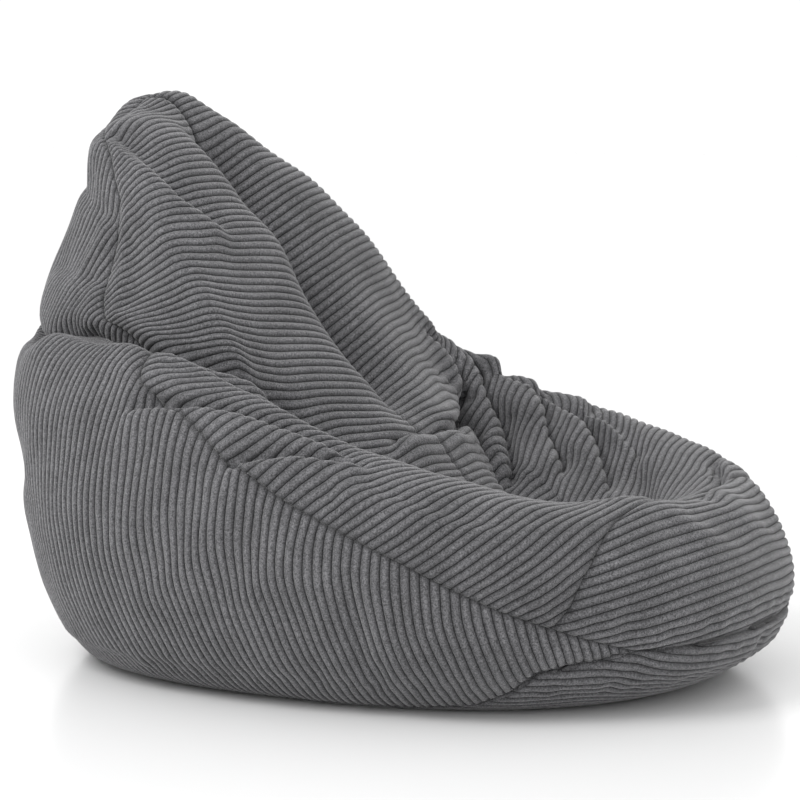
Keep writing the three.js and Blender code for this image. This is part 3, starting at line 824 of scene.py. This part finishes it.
class Look:
    """A material made of procedural nodes over the object's own space."""

    def __init__(self, name, roughness, metallic=0.0, sheen=0.0, sheen_roughness=0.5):
        self.material = bpy.data.materials.new(name)
        self.material.use_nodes = True
        self.nodes, self.links = self.material.node_tree.nodes, self.material.node_tree.links
        self.shader = self.nodes["Principled BSDF"]
        self.set("Roughness", roughness)
        self.set("Metallic", metallic)
        self.set("Sheen Weight", sheen)
        self.set("Sheen Roughness", sheen_roughness)

    def set(self, name, value, node=None):
        """A number, a colour or another node's output for one input."""
        socket = (node or self.shader).inputs[name]
        if isinstance(value, bpy.types.NodeSocket):
            self.links.new(value, socket)
        else:
            socket.default_value = value

    def place(self):
        return self.nodes.new("ShaderNodeTexCoord").outputs["Object"]

    def noise(self, scale, detail=2.0, roughness=0.5, stretch=None):
        texture = self.nodes.new("ShaderNodeTexNoise")
        place = self.place()
        if stretch:
            mapping = self.nodes.new("ShaderNodeMapping")
            self.set("Scale", stretch, mapping)
            self.set("Vector", place, mapping)
            place = mapping.outputs["Vector"]
        settings = {"Scale": scale, "Detail": detail, "Roughness": roughness, "Vector": place}
        for name, value in settings.items():
            self.set(name, value, texture)
        return texture.outputs["Fac"]

    def ramp(self, value, *stops):
        node = self.nodes.new("ShaderNodeValToRGB")
        while len(node.color_ramp.elements) < len(stops):
            node.color_ramp.elements.new(0.5)
        for element, (place, grey) in zip(node.color_ramp.elements, stops):
            element.position = place
            element.color = (*grey, 1) if isinstance(grey, tuple) else (grey, grey, grey, 1)
        self.set("Fac", value, node)
        return node.outputs["Color"]

    def tint(self, value, colour, dark, light):
        """A colour that goes from darker to lighter: dark and light each hold a place and a share."""
        stops = [(place, tuple(c * share for c in colour)) for place, share in (dark, light)]
        return self.ramp(value, *stops)

    def times(self, first, *others):
        """Colours multiplied with each other."""
        for other in others:
            node = self.nodes.new("ShaderNodeMix")
            node.data_type, node.blend_type = "RGBA", "MULTIPLY"
            for name, value in (("Factor", 1.0), ("A", first), ("B", other)):
                self.set(name, value, node)
            first = node.outputs["Result"]
        return first

    def bump(self, *heights):
        """Chains bumps of (height, distance, strength) into the shader's normal."""
        last = None
        for height, distance, strength in heights:
            node = self.nodes.new("ShaderNodeBump")
            for name, value in (("Distance", distance), ("Strength", strength), ("Height", height)):
                self.set(name, value, node)
            if last:
                self.set("Normal", last.outputs["Normal"], node)
            last = node
        self.set("Normal", last.outputs["Normal"])


def make_corduroy():
    look = Look("corduroy", 0.92, sheen=0.35, sheen_roughness=0.45)
    look.set("Specular IOR Level", 0.15)
    pile = look.noise(460, 3, 0.75)
    tufts = look.noise(230, 2, 0.6)
    cloud = look.noise(14, 3, 0.55)
    painted_rib_shading = look.nodes.new("ShaderNodeAttribute")
    painted_rib_shading.attribute_name = "crown"
    # Painted shade and highlight: the colour is darkest in the grooves and lightest on the crowns, standing in
    # for the shadow between the ribs and the light on their tops.
    base = look.ramp(painted_rib_shading.outputs["Fac"], (0.0, (0.015, 0.015, 0.016)), (0.45, (0.062, 0.062, 0.065)),
                     (0.85, (0.102, 0.101, 0.106)), (1.0, (0.136, 0.135, 0.141)))
    speckle = look.ramp(pile, (0.34, 0.48), (0.50, 1.02), (0.66, 1.48))
    mottle = look.ramp(tufts, (0.30, 0.80), (0.70, 1.18))
    patches = look.ramp(cloud, (0.30, 0.85), (0.70, 1.15))
    look.set("Base Color", look.times(base, speckle, mottle, patches))
    look.bump((tufts, 0.0016, 0.7), (pile, 0.0009, 0.8))
    return look.material


def make_cloth(name, colour, thread, weave, roughness=0.85):
    """A plain woven cloth: crossed threads, a little uneven, with a slight sheen."""
    look = Look(name, roughness, sheen=0.15)
    threads = []
    for axis in ("X", "Y"):
        wave = look.nodes.new("ShaderNodeTexWave")
        wave.bands_direction = axis
        for socket, value in (("Scale", thread), ("Distortion", 0.6), ("Vector", look.place())):
            look.set(socket, value, wave)
        threads.append(wave.outputs["Fac"])
    crossed = look.times(*threads)
    uneven = look.noise(90, 3)
    tint = look.tint(uneven, colour, (0.3, 0.82), (0.7, 1.08))
    shade = look.ramp(crossed, (0.0, 0.72), (0.6, 1.0))
    look.set("Base Color", look.times(tint, shade))
    look.bump((crossed, weave, 0.6), (uneven, weave * 2, 0.3))
    return look.material


def make_plastic(name, colour, roughness):
    """Moulded nylon with fine draw marks and a slightly uneven gloss."""
    look = Look(name, roughness)
    marks = look.noise(900, 2, stretch=(0.1, 1, 1))
    look.set("Base Color", look.tint(marks, colour, (0.3, 0.85), (0.7, 1.15)))
    look.set("Roughness", look.ramp(look.noise(300), (0.3, roughness - 0.08), (0.7, roughness + 0.10)))
    look.bump((marks, 0.0001, 0.4))
    return look.material


def make_metal(name, colour):
    """Die-cast metal, lacquered, with rubbed lighter spots."""
    look = Look(name, 0.34, metallic=1.0)
    rubbed = look.noise(420, 4, 0.6)
    look.set("Base Color", look.tint(rubbed, colour, (0.35, 0.8), (0.65, 1.25)))
    look.set("Roughness", look.ramp(rubbed, (0.3, 0.26), (0.7, 0.44)))
    look.bump((rubbed, 0.0001, 0.3))
    return look.material


def make_beads():
    """The surface of packed polystyrene beads: a small dome for each bead, with painted shade where the beads
    meet.
    """
    look = Look("beads", 0.6)
    cell = look.nodes.new("ShaderNodeTexVoronoi")
    look.set("Scale", 240, cell)
    look.set("Vector", look.place(), cell)
    distance = cell.outputs["Distance"]
    # Painted shade: each bead is light in its middle and dark at its edge, standing in for the shade between the
    # beads.
    look.set("Base Color", look.ramp(distance, (0.2, (0.86, 0.86, 0.84)), (0.8, (0.45, 0.45, 0.44))))
    look.bump((look.ramp(distance, (0.0, 1.0), (0.35, 0.8), (0.7, 0.1)), 0.0018, 0.9))
    return look.material


corduroy = make_corduroy()
liner_cloth = make_cloth("liner_cloth", (0.66, 0.66, 0.63), 400, 0.0001)
tape_cloth = make_cloth("tape_cloth", (0.075, 0.075, 0.078), 320, 0.0002)
coil_plastic = make_plastic("coil_plastic", (0.055, 0.055, 0.058), 0.42)
slider_metal = make_metal("slider_metal", (0.42, 0.42, 0.43))
bead_surface = make_beads()

# ---- liner and fill ----

def zip_middle(zip_name):
    low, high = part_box(f"{zip_name}_slider")
    return (low.y + high.y) / 2


def slit_field(points, zip_name, toward):
    """Distance from a zip's opening, positive on one side of it. Past the zip's ends it is a plain seam."""
    half_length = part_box(f"{zip_name}_bottom_stop")[1].x
    half_width = SLIT_HALF_WIDTH * smooth((half_length + 0.004 - np.abs(points[:, 0])) / 0.008)
    return toward * (points[:, 1] - zip_middle(zip_name)) - np.maximum(half_width, 0.0002)


def drawn_in(points, cells, depth):
    """The surface moved inward in small steps, its pleats eased out, and kept clear of the cover."""
    sides = np.sort(np.concatenate([cells[:, [i, (i + 1) % 4]] for i in range(4)]), axis=1)
    sides = np.unique(sides[sides[:, 0] != sides[:, 1]], axis=0)
    a, b = sides.T
    size = len(points)
    neighbours = np.bincount(a, minlength=size) + np.bincount(b, minlength=size)
    for _ in range(INWARD_STEPS):
        normals = point_normals(points, cells)
        total = [np.bincount(a, points[b, i], size) + np.bincount(b, points[a, i], size) for i in range(3)]
        pull = np.stack(total, -1) / neighbours[:, None] - points
        pull -= np.maximum((pull * normals).sum(1, keepdims=True), 0) * normals
        points = points + EASING * pull - normals * depth / INWARD_STEPS
    for _ in range(CLEARING_ROUNDS):
        for i, point in enumerate(points):
            found, normal, _, _ = cover_tree.find_nearest(point)
            short = depth - (found - Vector(point)).dot(normal)
            if short > 0:
                points[i] -= np.array(normal) * short
    return points


def liner_panel(name, sheet, node):
    """A part of the liner with a thickness."""
    _, _, rims = sheet.cut(np.full(len(sheet.points), 0.5), lambda v: v, lambda level: level * 1.0)
    points = np.concatenate([sheet.points, sheet.points - sheet.normals * LINER_THICKNESS])
    obj = new_piece(name, points, closed_faces(sheet, sheet.cells, rims))
    declare(obj, liner_cloth, "chair", node)


def make_liner():
    points = drawn_in(body.carry(under, inner), inner.cells, LINER_DEPTH)
    values = {"height": points[:, 2] - LINER_BASE_TOP, "middle": points[:, 0]}
    sheet = Sheet(points, point_normals(points, inner.cells), values, inner.polygons())
    upper = sheet.part(sheet.values["height"], True)
    for side, positive in (("left", True), ("right", False)):
        half = upper.part(upper.values["middle"], positive)
        liner_panel(f"liner_cloth_{side}", half, f"liner_{side}_panel")
    base = sheet.part(sheet.values["height"], False)
    for side, toward in (("front", -1), ("rear", 1)):
        half = base.part(slit_field(base.points, "liner_zip", toward), True)
        liner_panel(f"liner_cloth_base_{side}", half, f"liner_base_{side}")


def make_fill():
    """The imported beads: the body's shape, drawn in under the liner, lumpy, and flattened over its zip."""
    points = drawn_in(body.carry(under, inner), inner.cells, FILL_DEPTH)
    normals = point_normals(points, inner.cells)
    lumps = sum(height * (1 - noise(points, breadth, seed)) for height, breadth, seed in LUMPS)
    points = points - normals * np.maximum(lumps, 0)[:, None]
    tape_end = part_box("liner_zip_tape_front")[1].x
    near = smooth((0.034 - np.abs(points[:, 1] - zip_middle("liner_zip"))) / 0.012)
    near *= smooth((tape_end + 0.03 - np.abs(points[:, 0])) / 0.03) * (points[:, 2] < 0.03)
    points[:, 2] += near * ZIP_ROOM
    obj = new_piece("packed_beads", points, inner.polygons())
    declare(obj, bead_surface, "chair", "bead_fill")


# ---- zips ----

def zip_piece(node, points, faces, material, slot, body_name="chair"):
    obj = new_piece("woven_" + node if "tape" in node else "fine_" + node, points, faces)
    declare(obj, material, body_name, node)


def tube_faces(rings, size):
    """The faces between rings of points that each have the same number of points."""
    return [[r * size + i, r * size + (i + 1) % size, (r + 1) * size + (i + 1) % size, (r + 1) * size + i]
            for r in range(rings - 1) for i in range(size)]


def capped(rings, size):
    """The faces of a closed tube."""
    return tube_faces(rings, size) + [list(range(size))[::-1], [(rings - 1) * size + i for i in range(size)]]


def zip_tape(node):
    """A woven tape with a corded edge beside the coil and a thin selvedge on its other side."""
    low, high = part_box(node)
    rear = "rear" in node
    inner_y, outer_y = (low.y, high.y) if rear else (high.y, low.y)
    width, thick, middle = outer_y - inner_y, high.z - low.z, (low.z + high.z) / 2
    ring = [(inner_y + width * at, middle - thick * half) for at, half in TAPE_PROFILE]
    ring += [(inner_y + width * at, middle + thick * half) for at, half in reversed(TAPE_PROFILE)]
    points = [(x, y, z) for x in np.linspace(low.x, high.x, TAPE_STATIONS) for y, z in ring]
    faces = capped(TAPE_STATIONS, len(ring))
    zip_piece(node, points, [face[::-1] for face in faces] if rear else faces, tape_cloth, "zip_tape")


def zip_coil(node):
    """One side of the zip: a nylon filament wound into a flat coil, whose turns are the teeth."""
    low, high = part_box(node)
    centre_y, centre_z = (low.y + high.y) / 2, (low.z + high.z) / 2
    reach_y, reach_z = (high.y - low.y) / 2 - FILAMENT, (high.z - low.z) / 2 - FILAMENT
    steps = int((high.x - low.x - 2 * FILAMENT) / TOOTH_PITCH) * TURN_STEPS
    t = np.arange(steps + 1) / TURN_STEPS
    turn = 2 * math.pi * t * (1 if "rear" in node else -1)
    x = low.x + FILAMENT + t * TOOTH_PITCH
    path = np.stack([x, centre_y + reach_y * np.cos(turn), centre_z + reach_z * np.sin(turn)], -1)
    way = unit(np.gradient(path, axis=0))
    out = unit(np.stack([0 * t, np.cos(turn), np.sin(turn)], -1))
    out = unit(out - (out * way).sum(1, keepdims=True) * way)
    across = np.cross(way, out)
    angles = 2 * math.pi * np.arange(FILAMENT_SIDES) / FILAMENT_SIDES
    cosines, sines = np.cos(angles)[None, :, None], np.sin(angles)[None, :, None]
    points = path[:, None] + FILAMENT * (cosines * out[:, None] + sines * across[:, None])
    zip_piece(node, points.reshape(-1, 3), capped(steps + 1, FILAMENT_SIDES), coil_plastic, "zip_coil")


def rounded_block(low, high, corner, bevel, segments=5):
    """A flat block with rounded corners in plan and bevelled rims."""
    middle_x, middle_y = (low[0] + high[0]) / 2, (low[1] + high[1]) / 2
    outline = []
    (x0, y0), (x1, y1) = low[:2], high[:2]
    for quarter, (cx, cy) in enumerate(((x1, y1), (x0, y1), (x0, y0), (x1, y0))):
        for i in range(segments + 1):
            angle = math.radians(90 * quarter + 90 * i / segments)
            outline.append((cx - math.copysign(corner, cx - middle_x) + corner * math.cos(angle),
                            cy - math.copysign(corner, cy - middle_y) + corner * math.sin(angle)))
    levels = ((low[2], bevel), (low[2] + bevel, 0), (high[2] - bevel, 0), (high[2], bevel))
    points = [(x - math.copysign(inset, x - middle_x), y - math.copysign(inset, y - middle_y), z)
              for z, inset in levels for x, y in outline]
    return points, capped(len(levels), len(outline))


def joined(parts):
    points, faces = [], []
    for part_points, part_faces in parts:
        faces += [[len(points) + i for i in face] for face in part_faces]
        points += part_points
    return points, faces


def zip_slider(zip_name):
    """Two plates joined by a bridge. The cover's has a pull tab in a loop under its lower plate."""
    node = f"{zip_name}_slider"
    low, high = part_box(node)
    plate, bridge, edge = 0.001, 0.00055, 0.0003
    x, y = (low.x + high.x) / 2, (low.y + high.y) / 2
    parts = [
        rounded_block((low.x, low.y, low.z), (high.x, high.y, low.z + plate), 0.0026, edge),
        rounded_block((low.x, low.y, high.z - plate), (high.x, high.y, high.z), 0.0026, edge),
        rounded_block((x - 0.0022, y - bridge, low.z + plate / 2),
                      (x + 0.0022, y + bridge, high.z - plate / 2), 0.0005, 0.0001),
    ]
    if zip_name == "cover_zip":
        tab = (low.x - 0.017, y - 0.0028, low.z - 0.0014), (x - 0.001, y + 0.0028, low.z - 0.0006)
        loop = (x - 0.0035, y - 0.0010, low.z - 0.0017), (x + 0.0030, y + 0.0010, low.z + 0.0002)
        parts += [rounded_block(*tab, 0.0024, 0.0002), rounded_block(*loop, 0.0009, 0.0003)]
    zip_piece(node, *joined(parts), slider_metal, "zip_slider", zip_name.replace("zip", "slider"))


def make_zip(zip_name):
    for side in ("front", "rear"):
        zip_tape(f"{zip_name}_tape_{side}")
        zip_coil(f"{zip_name}_coil_{side}")
    for stop in ("top_stop", "bottom_stop"):
        node = f"{zip_name}_{stop}"
        low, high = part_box(node)
        web = [[v + side * 0.0003 for v in corner] for corner, side in ((low, 1), (high, -1))]
        parts = [rounded_block(*web, 0.0003, 0.0001)]
        for tooth in range(3):
            x = low.x + 0.001 * tooth
            parts.append(rounded_block((x, low.y, low.z), (x + 0.00094, high.y, high.z), 0.0003, 0.00018))
        zip_piece(node, *joined(parts), coil_plastic, "zip_coil")
    zip_slider(zip_name)


# ---- making the cover ----

body = Grid(GRID_CELL)
inner = Grid(LINER_CELL)
body_normals = point_normals(body.points, body.cells)
place = np.array(body.places)[body.row]
seams = seam_fields(body.points, body_normals, place)
above = seams["base"] < SEAM_OVERLAP
behind = above & (seams["front"] < SEAM_OVERLAP)
rib_plans = {
    "side": (behind & (seams["back"] < SEAM_OVERLAP), SIDE_RIBS, 1),
    "back": (behind & (seams["back"] > -SEAM_OVERLAP), BACK_RIBS, -1),
    "nose": (above & (seams["front"] > -SEAM_OVERLAP), FRONT_RIBS, 1),
    "border": ((seams["base"] > -SEAM_OVERLAP) & (place > BORDER_INSIDE - BORDER_OVERLAP), BORDER_RIBS, 1),
}
rib_fields = {"sole": body.points[:, 1]}
for kind, plan in rib_plans.items():
    rib_fields[kind] = rib_field(body.points, body_normals, body.cells, *plan)
filled = bulged(body.points)
shaped = plumped(creased(filled, body_normals), seams)
under = plumped(creased(filled, body_normals, rolled=False), seams)
settling = settled(shaped, seams)
shaped = shaped + settling
under = under + settling
shaped[:, 2] = np.maximum(shaped[:, 2], 0)
under[:, 2] = np.maximum(under[:, 2], 0)

values = dict(seams, border=(place - BORDER_INSIDE) * RIM_WIDTH)
for kind, field in rib_fields.items():
    values["rib_" + kind] = field / RIB_PITCH + RIB_WANDER * noise(body.points, 0.09, seed=21) + RIB_START
whole = Sheet(shaped, point_normals(shaped, body.cells), values, body.polygons())


def with_ribs(sheet, kind):
    sheet.values["rib"] = sheet.values["rib_" + kind]
    return sheet


top = whole.part(whole.values["base"], False)
nose = top.part(top.values["front"], True)
rest = top.part(top.values["front"], False)
back = rest.part(rest.values["back"], True)
sides = rest.part(rest.values["back"], False)
cover_panel("corduroy_back_panel", with_ribs(back, "back"), ("base", "front", "back"), "cover_back_panel")
for side, positive in (("left", True), ("right", False)):
    half = with_ribs(sides.part(sides.values["middle"], positive), "side")
    cover_panel(f"corduroy_{side}_panel", half, ("front", "back", "middle"), f"cover_{side}_panel")
cover_panel("corduroy_front_panel", with_ribs(nose, "nose"), ("base", "front"), "cover_front_panel")
bottom = whole.part(whole.values["base"], True)
border = with_ribs(bottom.part(bottom.values["border"], True), "border")
cover_panel("corduroy_border", border, ("base", "border"), "cover_base_front", SOLE_SEAM_DEPTH)
sole = with_ribs(bottom.part(bottom.values["border"], False), "sole")
for side, toward in (("front", -1), ("rear", 1)):
    half = sole.part(slit_field(sole.points, "cover_zip", toward), True)
    half.values["slit"] = slit_field(half.points, "cover_zip", toward)
    cover_panel(f"corduroy_base_{side}", half, ("border", "slit"), f"cover_base_{side}", SOLE_SEAM_DEPTH)

# ---- making what lies inside ----

cover_tree = BVHTree.FromPolygons(shaped.tolist(), body.polygons())
make_liner()
make_fill()
for zip_name in ("cover_zip", "liner_zip"):
    make_zip(zip_name)


# ---- camera, floor and light ----

def add_area_light(name, location, aim, size, power):
    light = bpy.data.lights.new(name, "AREA")
    light.shape, light.size, light.energy = "SQUARE", size, power
    obj = bpy.data.objects.new(name, light)
    obj.location = location
    obj.rotation_euler = (Vector(aim) - Vector(location)).to_track_quat("-Z", "Y").to_euler()
    bpy.context.scene.collection.objects.link(obj)


def make_stage():
    scene = bpy.context.scene
    camera = bpy.data.objects.new("camera", bpy.data.cameras.new("camera"))
    camera.location = CAMERA_PLACE
    camera.rotation_euler = (Vector(CAMERA_AIM) - camera.location).to_track_quat("-Z", "Y").to_euler()
    camera.data.sensor_width = 36
    camera.data.lens = CAMERA_LENS
    camera.data.shift_x, camera.data.shift_y = CAMERA_SHIFT
    scene.collection.objects.link(camera)
    scene.camera = camera

    world = bpy.data.worlds.new("studio")
    world.use_nodes = True
    world.node_tree.nodes["Background"].inputs["Color"].default_value = (1, 1, 1, 1)
    world.node_tree.nodes["Background"].inputs["Strength"].default_value = 1.05
    scene.world = world
    scene.view_settings.view_transform = "Standard"
    add_area_light("key", (-2.2, 1.2, 3.0), (0, 0, 0.3), 1.6, 60)
    add_area_light("fill", (-2.0, -3.2, 1.6), (0, 0, 0.3), 2.2, 10)

    corners = [(x * FLOOR_HALF, y * FLOOR_HALF, 0) for x, y in ((-1, -1), (1, -1), (1, 1), (-1, 1))]
    floor = new_piece("floor", corners, [[0, 1, 2, 3]], False)
    look = Look("floor", 0.22)
    look.set("Base Color", (0.93, 0.93, 0.93, 1))
    floor.data.materials.append(look.material)


make_stage()
